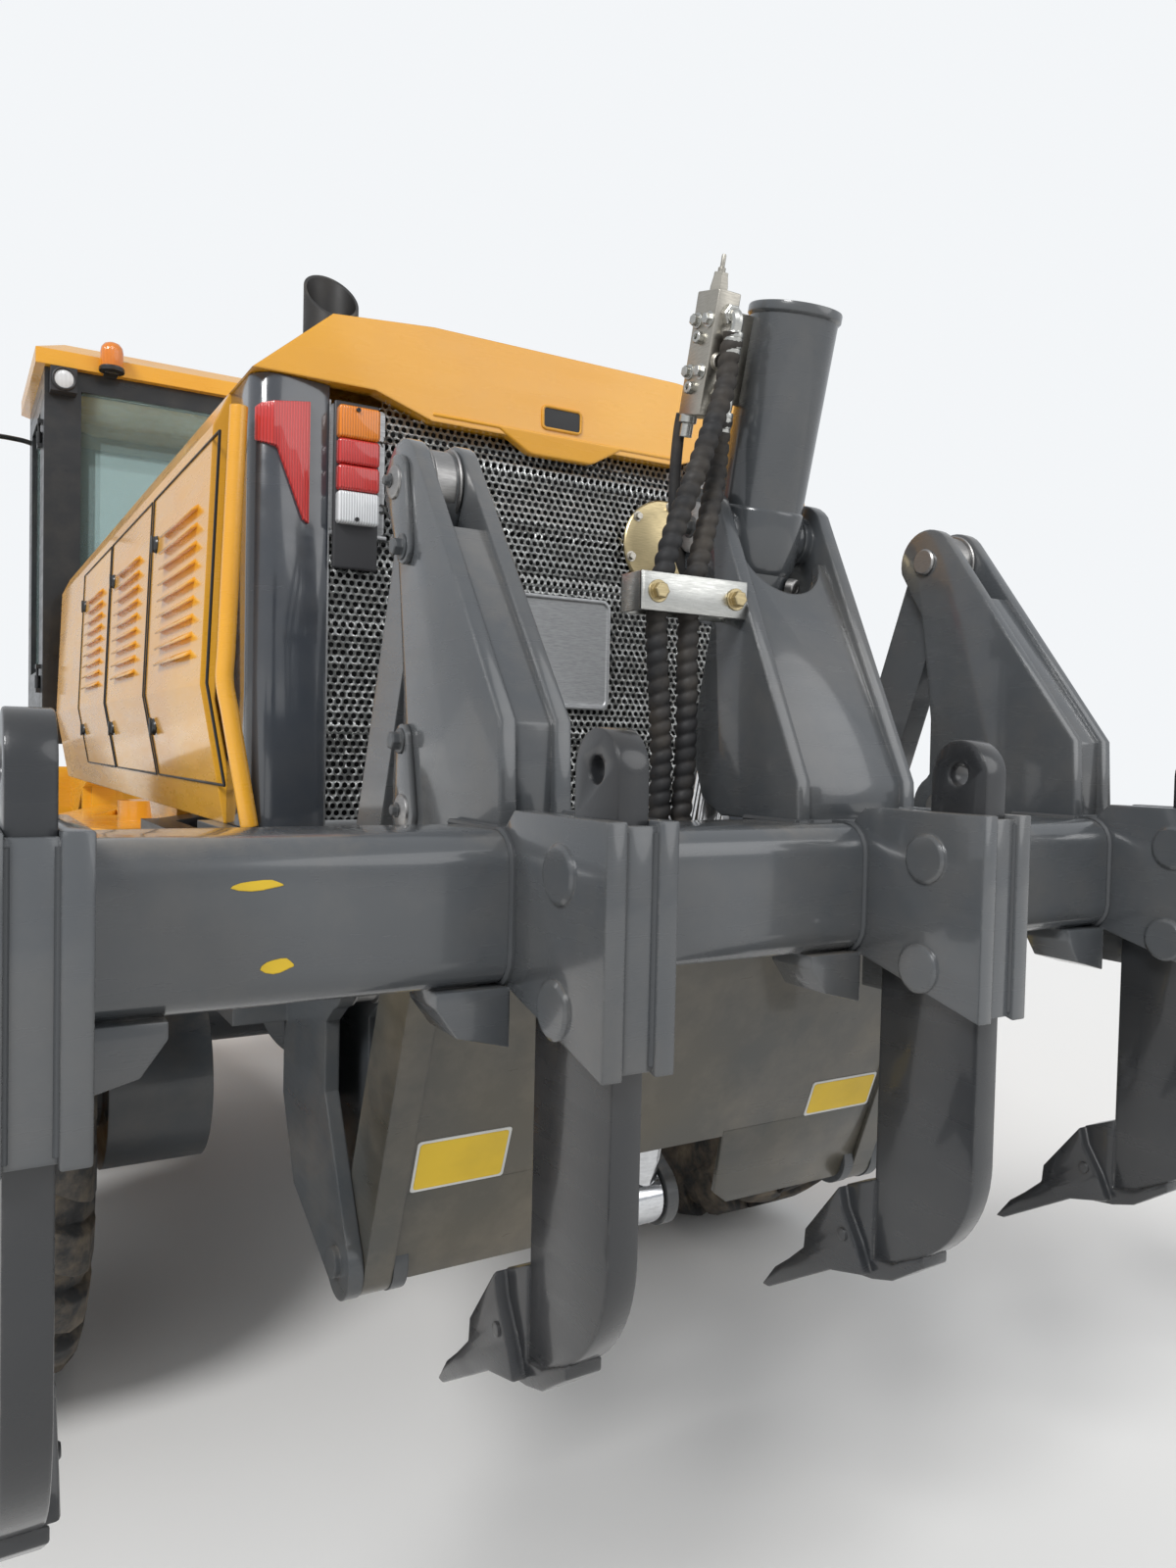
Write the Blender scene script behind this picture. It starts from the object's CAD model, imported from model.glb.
import math
import bpy
import bmesh
from mathutils import Matrix, Vector


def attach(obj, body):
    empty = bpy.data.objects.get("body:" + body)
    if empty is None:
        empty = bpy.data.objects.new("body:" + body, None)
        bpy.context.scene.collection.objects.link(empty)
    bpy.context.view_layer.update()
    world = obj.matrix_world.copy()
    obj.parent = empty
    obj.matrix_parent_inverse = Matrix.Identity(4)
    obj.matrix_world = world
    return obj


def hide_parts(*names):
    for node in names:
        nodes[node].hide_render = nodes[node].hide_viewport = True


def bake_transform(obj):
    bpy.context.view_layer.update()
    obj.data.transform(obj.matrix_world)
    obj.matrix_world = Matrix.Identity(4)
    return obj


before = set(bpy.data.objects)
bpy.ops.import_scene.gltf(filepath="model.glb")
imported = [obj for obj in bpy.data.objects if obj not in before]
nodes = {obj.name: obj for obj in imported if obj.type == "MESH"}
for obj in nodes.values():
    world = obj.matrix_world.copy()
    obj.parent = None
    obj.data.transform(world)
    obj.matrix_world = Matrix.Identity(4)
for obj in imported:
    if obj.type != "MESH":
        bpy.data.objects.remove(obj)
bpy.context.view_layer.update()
print("frame loaded:", len(nodes), "nodes")


# camera, taken back from the photograph's own lines
view = {
    "place": (-1.1622, -5.8035, 1.5252),   # metres, in the machine's frame
    "yaw": 30.65,                          # degrees right of straight ahead
    "pitch": -1.75,
    "roll": 1.29,
    "lens": 25.24,
    "sensor": 36.0,
}


def makeCamera():
    data = bpy.data.cameras.new("camera")
    data.lens = view["lens"]
    data.sensor_width = view["sensor"]
    data.sensor_fit = "AUTO"
    data.clip_start = 0.05
    data.clip_end = 200
    camera = bpy.data.objects.new("camera", data)
    bpy.context.scene.collection.objects.link(camera)
    turn = (Matrix.Rotation(math.radians(-view["yaw"]), 4, "Z")
            @ Matrix.Rotation(math.radians(90 + view["pitch"]), 4, "X")
            @ Matrix.Rotation(math.radians(view["roll"]), 4, "Z"))
    camera.matrix_world = Matrix.Translation(Vector(view["place"])) @ turn
    bpy.context.scene.camera = camera


makeCamera()
print("camera placed")


# light and floor
light = {
    "worldStrength": 0.62,
    "worldColour": (0.93, 0.96, 1.0),
    "sunStrength": 2.1,
    "sunAngle": 18,            # degrees across, a soft window light
    "sunFrom": (-0.62, -0.45, 0.64),
    "fillStrength": 0.55,
    "fillAngle": 40,
    "fillFrom": (0.55, -0.7, 0.45),
    "backdrop": (0.90, 0.92, 0.94),
    "floorColour": (0.80, 0.79, 0.77),
    "floorSize": 60,
}


def makeSun(name, strength, angle, comesFrom):
    data = bpy.data.lights.new(name, "SUN")
    data.energy = strength
    data.angle = math.radians(angle)
    lamp = bpy.data.objects.new(name, data)
    bpy.context.scene.collection.objects.link(lamp)
    lamp.rotation_euler = Vector(comesFrom).to_track_quat("Z", "Y").to_euler()


def makeStudio():
    world = bpy.data.worlds.new("studio")
    bpy.context.scene.world = world
    world.use_nodes = True
    tree = world.node_tree
    background = tree.nodes["Background"]
    white = tree.nodes.new("ShaderNodeBackground")
    for node, colour, strength in ((background, light["worldColour"], light["worldStrength"]),
                                   (white, light["backdrop"], 1)):
        node.inputs["Color"].default_value = (*colour, 1)
        node.inputs["Strength"].default_value = strength
    path = tree.nodes.new("ShaderNodeLightPath")
    mix = tree.nodes.new("ShaderNodeMixShader")
    tree.links.new(path.outputs["Is Camera Ray"], mix.inputs[0])
    tree.links.new(background.outputs[0], mix.inputs[1])
    tree.links.new(white.outputs[0], mix.inputs[2])
    tree.links.new(mix.outputs[0], tree.nodes["World Output"].inputs["Surface"])
    makeSun("key", light["sunStrength"], light["sunAngle"], light["sunFrom"])
    makeSun("fill", light["fillStrength"], light["fillAngle"], light["fillFrom"])
    bpy.ops.mesh.primitive_plane_add(size=light["floorSize"], location=(0, 0, 0))
    floor = bpy.context.object
    floor.name = "floor"
    mat = bpy.data.materials.new("floor")
    mat.use_nodes = True
    shader = mat.node_tree.nodes["Principled BSDF"]
    shader.inputs["Base Color"].default_value = (*light["floorColour"], 1)
    shader.inputs["Roughness"].default_value = 0.9
    floor.data.materials.append(mat)
    scene = bpy.context.scene
    scene.view_settings.view_transform = "Standard"


makeStudio()
print("studio lit")


# materials
class Shading:
    # one material being wired up, with its object coordinates and shader at hand
    def __init__(self, name):
        self.mat = bpy.data.materials.new(name)
        self.mat.use_nodes = True
        self.tree = self.mat.node_tree
        self.shader = self.tree.nodes["Principled BSDF"]
        self.place = self.tree.nodes.new("ShaderNodeTexCoord").outputs["Object"]

    def feed(self, socket, value):
        # a colour or a number is set, anything else is wired
        if isinstance(value, tuple):
            socket.default_value = (*value, 1) if socket.type == "RGBA" else value
        elif isinstance(value, (int, float)):
            socket.default_value = value
        elif value is not None:
            self.tree.links.new(value, socket)

    def made(self, kind, inputs):
        node = self.tree.nodes.new("ShaderNode" + kind)
        for key, value in inputs.items():
            self.feed(node.inputs[key], value)
        return node

    def stretched(self, scale):
        return self.made("Mapping", {"Scale": scale, "Vector": self.place}).outputs[0]

    def noise(self, scale, detail=4, rough=0.55, vector=None):
        return self.made("TexNoise", {"Scale": scale, "Detail": detail, "Roughness": rough,
                                      "Vector": vector or self.place}).outputs["Fac"]

    def ribs(self, scale, way):
        node = self.made("TexWave", {"Scale": scale, "Vector": self.place})
        node.bands_direction = way
        return node.outputs["Fac"]

    def ranged(self, value, low, high, outLow=0.0, outHigh=1.0):
        return self.made("MapRange", {"From Min": low, "From Max": high, "To Min": outLow,
                                      "To Max": outHigh, "Value": value}).outputs["Result"]

    def maths(self, kind, first, second=None):
        node = self.made("Math", {0: first, 1: second})
        node.operation = kind
        return node.outputs[0]

    def mixed(self, factor, first, second):
        node = self.tree.nodes.new("ShaderNodeMix")
        node.data_type = "RGBA"
        for key, value in ((0, factor), (6, first), (7, second)):
            self.feed(node.inputs[key], value)
        return node.outputs[2]

    def normal(self):
        return self.made("NewGeometry", {}).outputs["Normal"]

    def upward(self):
        return self.made("SeparateXYZ", {0: self.normal()}).outputs["Z"]

    def rounded(self, radius):
        node = self.made("Bevel", {"Radius": radius})
        node.samples = 4
        return node.outputs["Normal"]

    def edges(self, radius):
        # 1 on sharp edges, 0 on open faces
        dot = self.made("VectorMath", {0: self.rounded(radius), 1: self.normal()})
        dot.operation = "DOT_PRODUCT"
        return self.ranged(dot.outputs["Value"], 0.97, 0.80)

    def bumped(self, height, strength, distance, normal=None):
        return self.made("Bump", {"Strength": strength, "Distance": distance, "Height": height,
                                  "Normal": normal}).outputs["Normal"]

    def put(self, socket, value):
        self.feed(self.shader.inputs[socket], value)


paints = {
    # colour, shade of it, gloss, edge radius, dust and worn edges
    "yellowPaint": dict(colour=(0.86, 0.425, 0.028), shade=(0.78, 0.36, 0.020), rough=0.24,
                        coat=0.6, edge=0.006, dust=0.10, worn=0.0, peel=0.10),
    "bladePaint": dict(colour=(0.80, 0.39, 0.028), shade=(0.62, 0.29, 0.02), rough=0.34,
                       coat=0.2, edge=0.005, dust=0.30, worn=0.25, peel=0.10),
    "graphitePaint": dict(colour=(0.060, 0.066, 0.071), shade=(0.045, 0.050, 0.055), rough=0.30,
                          coat=0.25, edge=0.005, dust=0.16, worn=0.06, peel=0.14),
    "ripperPaint": dict(colour=(0.080, 0.086, 0.092), shade=(0.060, 0.065, 0.070), rough=0.22,
                        coat=0.7, edge=0.006, dust=0.12, worn=0.10, peel=0.14),
    "panelPaint": dict(colour=(0.052, 0.052, 0.046), shade=(0.088, 0.074, 0.048), rough=0.30,
                       coat=0.4, edge=0.006, dust=0.30, worn=0.10, peel=0.14),
    "shankPaint": dict(colour=(0.024, 0.026, 0.029), shade=(0.016, 0.017, 0.019), rough=0.26,
                       coat=0.5, edge=0.006, dust=0.03, worn=0.08, peel=0.20),
    "pillarPaint": dict(colour=(0.060, 0.068, 0.080), shade=(0.046, 0.052, 0.062), rough=0.16,
                        coat=0.9, edge=0.005, dust=0.06, worn=0.0, peel=0.06),
    "cabBlack": dict(colour=(0.018, 0.019, 0.021), shade=(0.012, 0.013, 0.014), rough=0.32,
                     coat=0.3, edge=0.004, dust=0.08, worn=0.0, peel=0.10),
    "stackBlack": dict(colour=(0.014, 0.014, 0.015), shade=(0.022, 0.020, 0.018), rough=0.5,
                       coat=0.0, edge=0.003, dust=0.12, worn=0.05, peel=0.10),
}


def paint(name):
    look = paints[name]
    s = Shading(name)
    broad = s.ranged(s.noise(1.7, 3), 0.38, 0.62)
    colour = s.mixed(broad, look["colour"], look["shade"])
    grime = s.ranged(s.noise(6.5, 6, 0.65), 0.45, 0.72)
    flat = s.ranged(s.upward(), 0.35, 0.95)
    dust = s.maths("MULTIPLY", s.maths("MULTIPLY", grime, flat), look["dust"] * 2.4)
    film = s.maths("MULTIPLY", grime, look["dust"] * 0.5)
    colour = s.mixed(s.maths("MAXIMUM", dust, film), colour, (0.42, 0.34, 0.24))
    if look["worn"]:
        chips = s.ranged(s.noise(42, 4, 0.7), 0.52, 0.60)
        worn = s.maths("MULTIPLY", s.maths("MULTIPLY", s.edges(0.003), chips), look["worn"] * 4)
        colour = s.mixed(worn, colour, (0.20, 0.19, 0.18))
    s.put("Base Color", colour)
    scuff = s.noise(3.5, 6, 0.6, s.stretched((1, 1, 7)))
    s.put("Roughness", s.ranged(scuff, 0.3, 0.7, look["rough"] - 0.05, look["rough"] + 0.13))
    s.put("Coat Weight", look["coat"])
    s.put("Coat Roughness", 0.08)
    s.put("Normal", s.bumped(s.noise(210, 2), look["peel"], 0.0006, s.rounded(look["edge"])))
    return s.mat


def rubber(name, colour, dust, bump=0.5):
    s = Shading(name)
    mottle = s.ranged(s.noise(9, 6, 0.65), 0.42, 0.68)
    s.put("Base Color", s.mixed(s.maths("MULTIPLY", mottle, dust), colour, (0.30, 0.23, 0.15)))
    s.put("Roughness", s.ranged(s.noise(30, 4), 0.3, 0.7, 0.55, 0.82))
    s.put("Normal", s.bumped(s.noise(160, 4, 0.7), bump, 0.0012, s.rounded(0.004)))
    return s.mat


def metal(name, colour, rough, brushed=(1, 1, 12)):
    s = Shading(name)
    grain = s.noise(60, 5, 0.6, s.stretched(brushed))
    s.put("Base Color", s.mixed(s.ranged(grain, 0.35, 0.65), colour, tuple(0.8 * c for c in colour)))
    s.put("Metallic", 1.0)
    s.put("Roughness", s.ranged(grain, 0.3, 0.7, rough * 0.8, rough * 1.3))
    s.put("Normal", s.bumped(grain, 0.06, 0.0004, s.rounded(0.002)))
    return s.mat


def plastic(name, colour, rough=0.45, grain=350):
    s = Shading(name)
    s.put("Base Color", s.mixed(s.ranged(s.noise(5, 4), 0.4, 0.7), colour,
                                tuple(0.75 * c + 0.01 for c in colour)))
    s.put("Roughness", s.ranged(s.noise(14, 4), 0.3, 0.7, rough - 0.06, rough + 0.08))
    s.put("Normal", s.bumped(s.noise(grain, 2), 0.18, 0.0005, s.rounded(0.002)))
    return s.mat


def lens(name, colour, strength=0.5):
    # a moulded lamp cover with fine vertical ribs
    s = Shading(name)
    wave = s.ribs(60, "X")
    s.put("Base Color", s.mixed(s.ranged(wave, 0.2, 0.8), colour, tuple(0.72 * c for c in colour)))
    s.put("Roughness", 0.16)
    s.put("Coat Weight", 0.8)
    s.put("Coat Roughness", 0.04)
    s.put("Emission Strength", 0.0)
    s.put("Normal", s.bumped(wave, strength, 0.002))
    return s.mat


def glazing(name, colour=(0.55, 0.72, 0.69)):
    s = Shading(name)
    smear = s.ranged(s.noise(2.2, 5, 0.6), 0.35, 0.75, 0.02, 0.10)
    s.put("Base Color", colour)
    s.put("Roughness", smear)
    s.put("Transmission Weight", 0.86)
    s.put("IOR", 1.25)
    s.put("Alpha", 0.62)
    s.put("Specular IOR Level", 0.6)
    return s.mat


def fabric(name, colour):
    s = Shading(name)
    s.put("Base Color", s.mixed(s.noise(12, 4), colour, tuple(1.7 * c for c in colour)))
    s.put("Roughness", 0.85)
    s.put("Sheen Weight", 0.3)
    s.put("Normal", s.bumped(s.ribs(160, "DIAGONAL"), 0.3, 0.0008))
    return s.mat


mats = {name: paint(name) for name in paints}
mats["tyreRubber"] = rubber("tyreRubber", (0.022, 0.022, 0.022), 0.55)
mats["hoseRubber"] = rubber("hoseRubber", (0.012, 0.012, 0.013), 0.12, 0.2)
mats["chrome"] = metal("chrome", (0.74, 0.75, 0.77), 0.10, (1, 1, 3))
for name, colour, rough in (
        ("zinc", (0.52, 0.49, 0.43), 0.34),
        ("zincBright", (0.60, 0.60, 0.57), 0.30),
        ("zincYellow", (0.55, 0.45, 0.26), 0.36),
        ("steel", (0.42, 0.41, 0.40), 0.38),
        ("grilleSteel", (0.58, 0.59, 0.58), 0.40),
        ("plateSteel", (0.40, 0.405, 0.41), 0.46),
        ("mirrorGlass", (0.80, 0.82, 0.84), 0.04)):
    mats[name] = metal(name, colour, rough)
for name, colour in (
        ("controlPlastic", (0.035, 0.036, 0.039)),
        ("lampHousing", (0.03, 0.03, 0.033)),
        ("weldBead", (0.060, 0.064, 0.068)),
        ("radiatorBlack", (0.006, 0.006, 0.007)),
        ("seamBlack", (0.010, 0.010, 0.011)),
        ("labelYellow", (0.78, 0.52, 0.02)),
        ("labelWhite", (0.66, 0.66, 0.63))):
    mats[name] = plastic(name, colour)
for name, colour in (
        ("redLens", (0.62, 0.035, 0.03)),
        ("amberLens", (0.85, 0.24, 0.01)),
        ("clearLens", (0.78, 0.79, 0.80))):
    mats[name] = lens(name, colour)
mats["glazing"] = glazing("glazing")
mats["seatFabric"] = fabric("seatFabric", (0.028, 0.028, 0.03))
print("materials mixed:", len(mats))


# each CAD node's finish
finish = {
    "yellowPaint": "hood front_frame cab_roof drawbar circle rim_rear_left_back rim_rear_left_front"
                   " rim_rear_right_back rim_rear_right_front rim_front_left rim_front_right",
    "bladePaint": "moldboard",
    "graphitePaint": "rear_frame rear_axle engine corner_pillars front_axle left_knuckle"
                     " right_knuckle tie_rod lift_barrels left_articulation_barrel"
                     " right_articulation_barrel tip_barrel blade_carriage",
    "panelPaint": "lower_link",
    "ripperPaint": "upper_links ripper_frame ripper_barrel",
    "shankPaint": "ripper_shanks",
    "cabBlack": "cab_shell left_door right_door",
    "stackBlack": "exhaust_stack",
    "grilleSteel": "rear_grille",
    "redLens": "rear_lamps",
    "tyreRubber": "tyre_rear_left_back tyre_rear_left_front tyre_rear_right_back"
                  " tyre_rear_right_front tyre_front_left tyre_front_right",
    "hoseRubber": "ripper_hoses",
    "chrome": "lift_rods left_articulation_rod right_articulation_rod tip_rod ripper_rod",
    "zinc": "ripper_valve",
    "controlPlastic": "cab_controls",
    "lampHousing": "cab_lamps",
    "glazing": "cab_glass left_door_glass right_door_glass",
    "seatFabric": "cab_seat",
}
for matName, names in finish.items():
    for nodeName in names.split():
        target = nodes[nodeName]
        if not target.material_slots:
            target.data.materials.append(mats[matName])
        for place in target.material_slots:
            place.material = mats[matName]
print("CAD nodes painted")


# places, in the machine's millimetres: along Y from the middle of the tandem, heights from the ground
middleY = 2015.5
ripperDatum = (-2869, 1455)          # the shank pockets' back faces and their tops
pocketXs = [-1100, -550, 0, 550, 1100]


origin = Vector((0, 0, 0))


def spot(x, y, z):
    return Vector((x, y - middleY, z)) / 1000


def tail(x, y, z):
    # counted from the ripper's datum
    return spot(x, y + ripperDatum[0], z + ripperDatum[1])


# the barrel's own frame: origin at its pin, Z down the rod, Y to the rear
alongRod = Vector((0, 310, -1215)).normalized()
barrelFrame = Matrix.Translation(tail(0, 520, 430)) @ Matrix((
    (1, 0, 0), (0, alongRod.z, alongRod.y), (0, -alongRod.y, alongRod.z))).to_4x4()


# bench tools round Blender's own operators
def toEdit():
    bpy.ops.object.mode_set(mode="EDIT")


def toObject():
    bpy.ops.object.mode_set(mode="OBJECT")


def pickAll():
    bpy.ops.mesh.select_all(action="SELECT")


def freshStart():
    if bpy.context.mode != "OBJECT":
        toObject()
    bpy.ops.object.select_all(action="DESELECT")


def pickOnly(*things):
    freshStart()
    for thing in things:
        thing.select_set(True)
    bpy.context.view_layer.objects.active = things[0]


def editing():
    # edit mode with the whole mesh picked
    toEdit()
    pickAll()


def closed(thing):
    # normals turned outwards, then back to object mode
    pickAll()
    bpy.ops.mesh.normals_make_consistent(inside=False)
    toObject()
    return thing


def aimed(way):
    # turns Z the way given
    return Vector(way).to_track_quat("Z", "Y").to_matrix().to_4x4()


def span(side, near, far):
    # two distances from the middle plane on one side, the lower X first
    return sorted((side * near, side * far))


def joined(*parts):
    pickOnly(*parts)
    bpy.ops.object.join()
    return bpy.context.object


def applyModifiers(thing):
    pickOnly(thing)
    for modifier in list(thing.modifiers):
        bpy.ops.object.modifier_apply(modifier=modifier.name)
    return thing


def slicedAt(thing, xs):
    # the whole mesh cut through at each x in mm
    pickOnly(thing)
    toEdit()
    for x in xs:
        pickAll()
        bpy.ops.mesh.bisect(plane_co=(x / 1000, 0, 0), plane_no=(1, 0, 0))
    toObject()


def softened(thing, width, segments=2, angle=35):
    edge = thing.modifiers.new("edge", "BEVEL")
    edge.width = width / 1000
    edge.segments = segments
    edge.limit_method = "ANGLE"
    edge.angle_limit = math.radians(angle)
    edge.use_clamp_overlap = True
    return applyModifiers(thing)


def block(low, high, edge=2, segments=2):
    freshStart()
    bpy.ops.mesh.primitive_cube_add(size=1)
    box = bpy.context.object
    size = high - low
    box.data.transform(Matrix.Translation((low + high) / 2) @ Matrix.Diagonal((*size, 1)))
    return softened(box, edge, segments) if edge else box


def rod(start, end, radius, sides=32, edge=1.0):
    freshStart()
    bpy.ops.mesh.primitive_cylinder_add(vertices=sides, radius=radius / 1000, depth=(end - start).length)
    bar = bpy.context.object
    bar.data.transform(Matrix.Translation((start + end) / 2) @ aimed(end - start))
    return softened(bar, edge) if edge else bar


def penDown(points):
    # one vertex, drawn on from point to point
    freshStart()
    bpy.ops.mesh.primitive_plane_add(size=0.01)
    line = bpy.context.object
    toEdit()
    bpy.ops.mesh.select_mode(type="VERT")
    pickAll()
    bpy.ops.mesh.merge(type="CENTER")
    bpy.ops.transform.translate(value=points[0])
    for here, there in zip(points, points[1:]):
        bpy.ops.mesh.extrude_vertices_move(TRANSFORM_OT_translate={"value": there - here})
    pickAll()
    return line


def turned(profile, place, facing, steps=40, edge=0):
    # profile is (radius, height) in mm, spun about the way that it faces
    line = penDown([Vector((r, 0, h)) / 1000 for r, h in profile])
    bpy.ops.mesh.spin(steps=steps, angle=math.tau, center=(0, 0, 0), axis=(0, 0, 1))
    pickAll()
    bpy.ops.mesh.remove_doubles(threshold=0.00002)
    closed(line)
    line.data.transform(Matrix.Translation(place) @ aimed(facing))
    return softened(line, edge) if edge else line


def plate(points, through, edge=1.5, segments=2):
    # a filled outline pushed through to its thickness
    sheet = penDown(points)
    bpy.ops.mesh.edge_face_add()
    bpy.ops.mesh.extrude_region_move(TRANSFORM_OT_translate={"value": through})
    closed(sheet)
    return softened(sheet, edge, segments) if edge else sheet


def facingRear(outline, y, thick, edge=1.5, segments=2):
    # a plate whose outline is given as (x, z), its rear face at y
    return plate([spot(x, y, z) for x, z in outline], Vector((0, thick / 1000, 0)), edge, segments)


def pipe(points, radius, sides=10, smooth=True):
    # a curve with a round bevel, made a mesh
    freshStart()
    data = bpy.data.curves.new("pipe", "CURVE")
    data.dimensions = "3D"
    data.bevel_depth = radius / 1000
    data.bevel_resolution = max(1, sides // 4 - 1)
    data.use_fill_caps = True
    path = curved(points, 6) if smooth else points
    spline = data.splines.new("POLY")
    spline.points.add(len(path) - 1)
    for knot, p in zip(spline.points, path):
        knot.co = (*p, 1)
    thing = bpy.data.objects.new("pipe", data)
    bpy.context.scene.collection.objects.link(thing)
    pickOnly(thing)
    bpy.ops.object.convert(target="MESH")
    return bpy.context.object


def curved(points, steps):
    # a smooth line through the points
    path = []
    last = len(points) - 1
    for i in range(last):
        a, b, c, d = (points[max(i - 1, 0)], points[i], points[i + 1], points[min(i + 2, last)])
        for k in range(steps):
            t = k / steps
            path.append(0.5 * (2 * b + (c - a) * t + (2 * a - 5 * b + 4 * c - d) * t ** 2
                               + (3 * b - a - 3 * c + d) * t ** 3))
    return path + [points[-1]]


def copied(master, place, facing=None, size=1.0, turn=0.0):
    twin = master.copy()
    twin.data = master.data.copy()
    bpy.context.scene.collection.objects.link(twin)
    way = aimed(facing) if facing else Matrix.Identity(4)
    twin.data.transform(Matrix.Translation(place) @ way @ Matrix.Rotation(turn, 4, "Z")
                        @ Matrix.Scale(size, 4))
    return twin


def put(thing, matrix):
    thing.data.transform(matrix)
    return thing


def inRow(thing, count, step):
    # copies in a row, each a step in mm from the last
    row = thing.modifiers.new("row", "ARRAY")
    row.use_relative_offset = False
    row.use_constant_offset = True
    row.constant_offset_displace = tuple(v / 1000 for v in step)
    row.count = count


def inCapitals(words):
    # rear_left_back becomes RearLeftBack
    return "".join(word.capitalize() for word in words.split("_"))


def gathered(name, parts, body, finishName, smooth=35):
    # joins the parts into one finished piece
    pickOnly(*parts)
    if len(parts) > 1:
        bpy.ops.object.join()
    piece = bpy.context.object
    piece.name = name
    piece.data.name = name
    piece.data.materials.clear()
    piece.data.materials.append(mats[finishName])
    if smooth:
        bpy.ops.object.shade_smooth_by_angle(angle=math.radians(smooth))
    if body:
        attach(piece, body)
    return piece


def arcPoints(centre, radius, start, end, steps):
    return [(centre[0] + radius * math.cos(math.radians(start + (end - start) * i / steps)),
             centre[1] + radius * math.sin(math.radians(start + (end - start) * i / steps)))
            for i in range(steps + 1)]


def roundedOutline(low, high, r, steps=5):
    return (arcPoints((high[0] - r, high[1] - r), r, 0, 90, steps)
            + arcPoints((low[0] + r, high[1] - r), r, 90, 180, steps)
            + arcPoints((low[0] + r, low[1] + r), r, 180, 270, steps)
            + arcPoints((high[0] - r, low[1] + r), r, 270, 360, steps))


# one hexagon bolt with its washer, and one socket screw, copied wherever they're needed
def makeBolt():
    freshStart()
    bpy.ops.mesh.primitive_cylinder_add(vertices=6, radius=0.0139, depth=0.0125, location=(0, 0, 0.0093))
    head = bpy.context.object
    bpy.ops.object.transform_apply(location=True)
    toEdit()
    bpy.ops.mesh.select_all(action="DESELECT")
    toObject()
    for face in head.data.polygons:
        face.select = face.normal.z > 0.9
    toEdit()
    bpy.ops.mesh.inset(thickness=0.0018)
    bpy.ops.transform.translate(value=(0, 0, 0.0012))
    toObject()
    washer = turned([(0, 0), (19, 0), (19.5, 0.6), (19.5, 2.6), (18.5, 3.2), (0, 3.2)],
                    origin, (0, 0, 1), 24)
    both = joined(head, washer)
    bpy.ops.object.shade_smooth_by_angle(angle=math.radians(28))
    return both


def makeSocketScrew():
    return turned([(0, 5), (5, 5), (5, 12), (10.5, 12), (12, 10.5), (12, 0), (0, 0)], origin, (0, 0, 1), 20)


bolt = makeBolt()
socketScrew = makeSocketScrew()
print("bench ready")


# rear grille: a punched sheet in front of the radiator, lamp plates and a bare badge plate
grille = {
    "pitch": 16.0,            # mm between holes
    "rowStep": 0.8660254,     # of the pitch, from row to row
    "hole": 12.4,             # mm across the corners
    "front": -1655.0,
    "thick": 3.0,
    "halfWidth": 502.0,
    "low": 1362.0,
    "high": 2222.0,
    "ribs": (2132.0, 1999.0, 1893.0, 1560.0),
    "ribOut": 7.0,
    "ribHalf": 15.0,
    "lampWindow": (402, 1957),             # |x| and z from which the lamps take the sheet's place
    "badgeWindow": (134, 1628, 1851),      # |x|, lowest and highest z behind the badge plate
    "lip": (2184, 38, 300, 120),           # z in the middle, rise, |x| where it starts, over what width
    "plateFront": -1659,
}
badgePlate = {"low": (-146, 1616), "high": (146, 1863), "corner": 22, "front": -1664.5, "thick": 9,
              "rim": 0.007, "slope": 0.003, "sunk": 0.0035}      # these three in metres


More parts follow.
